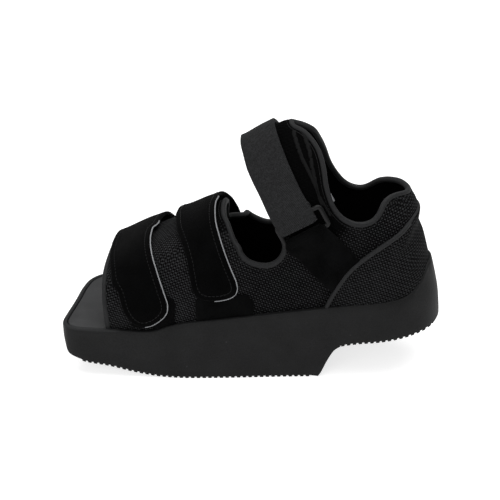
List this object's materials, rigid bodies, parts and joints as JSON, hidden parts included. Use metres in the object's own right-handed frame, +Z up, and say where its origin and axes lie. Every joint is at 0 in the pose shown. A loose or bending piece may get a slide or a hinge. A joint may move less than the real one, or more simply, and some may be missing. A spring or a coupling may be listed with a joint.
{
  "type": "post operative shoe",
  "caption": "Heel off-loading post operative shoe with a square open toe, mesh upper, hook-and-loop forefoot straps, ringed ankle strap and a wedge sole cut away under the heel.",
  "frame": {"origin": "on the ground, under the centre of the flat part of the tread", "axes": "+X towards the toe, +Y towards the inner side of the foot, +Z up"},
  "size_m": [0.2961, 0.1162, 0.1989],
  "materials": {
    "sole_foam": "matte moulded foam",
    "insole_foam": "smooth matte foam",
    "mesh": "knitted mesh",
    "bound_edge": "woven tape",
    "fleece": "brushed loop pile",
    "webbing": "woven webbing",
    "ring_plastic": "moulded plastic"
  },
  "bodies": {
    "root": {"sole": "sole_foam", "insole": "insole_foam", "upper": "mesh", "toe_binding": "bound_edge", "throat_binding": "bound_edge", "collar_binding": "bound_edge", "counter": "mesh", "counter_piping": "bound_edge", "toe_patch": "fleece", "instep_patch": "fleece", "toe_strap": "fleece", "instep_strap": "fleece", "ring": "ring_plastic", "anchor_band": "webbing", "ankle_strap": "webbing"}
  },
  "joints": []
}
